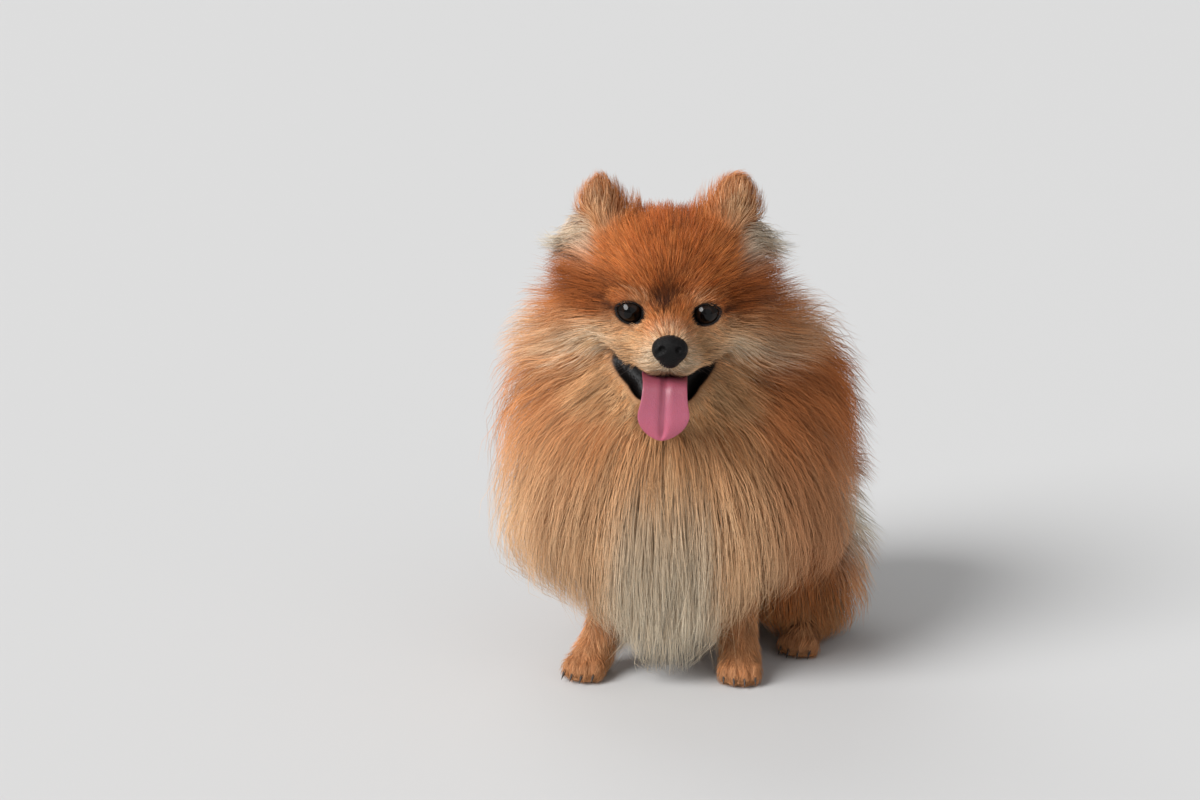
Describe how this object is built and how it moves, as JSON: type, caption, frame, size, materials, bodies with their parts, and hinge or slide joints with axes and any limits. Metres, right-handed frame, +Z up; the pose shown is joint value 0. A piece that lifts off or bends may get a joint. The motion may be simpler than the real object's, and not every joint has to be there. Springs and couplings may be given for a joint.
{
  "type": "pomeranian",
  "caption": "Life-size still model of a sitting orange pomeranian with a full mane, open mouth and tongue out, plumed tail laid over its back.",
  "frame": {"origin": "middle of the object's box, at the floor it sits on", "axes": "+Z up; the dog faces -Y, and its left side is towards +X"},
  "size_m": [0.2168, 0.2312, 0.2672],
  "materials": {
    "orange_coat": "deep orange fur",
    "tan_coat": "light tan fur with cream tips",
    "red_coat": "shaded red-brown fur with pale fringes",
    "cream_coat": "cream fur",
    "nose_leather": "black pebbled nose leather and lip skin",
    "eye_dark": "wet, nearly black brown eye",
    "tongue_flesh": "moist pink tongue",
    "claw_horn": "dark horn"
  },
  "bodies": {
    "root": {"head": "orange_coat", "muzzle": "tan_coat", "lower_jaw": "tan_coat", "nose": "nose_leather", "tongue": "tongue_flesh", "eye_left": "eye_dark", "eye_right": "eye_dark", "ear_left": "orange_coat", "ear_right": "orange_coat", "neck": "orange_coat", "chest": "tan_coat", "trunk": "orange_coat", "rump": "red_coat", "tail_base": "orange_coat", "tail_plume": "cream_coat", "tail_tip": "cream_coat", "foreleg_left": "orange_coat", "foreleg_right": "orange_coat", "paw_left": "orange_coat", "paw_right": "orange_coat", "thigh_left": "red_coat", "thigh_right": "red_coat", "hind_foot_left": "orange_coat", "hind_foot_right": "orange_coat", "claw_front_left_1": "claw_horn", "claw_front_left_2": "claw_horn", "claw_front_left_3": "claw_horn", "claw_front_left_4": "claw_horn", "claw_front_right_1": "claw_horn", "claw_front_right_2": "claw_horn", "claw_front_right_3": "claw_horn", "claw_front_right_4": "claw_horn", "claw_hind_left_1": "claw_horn", "claw_hind_left_2": "claw_horn", "claw_hind_left_3": "claw_horn", "claw_hind_left_4": "claw_horn", "claw_hind_right_1": "claw_horn", "claw_hind_right_2": "claw_horn", "claw_hind_right_3": "claw_horn", "claw_hind_right_4": "claw_horn"}
  },
  "joints": []
}
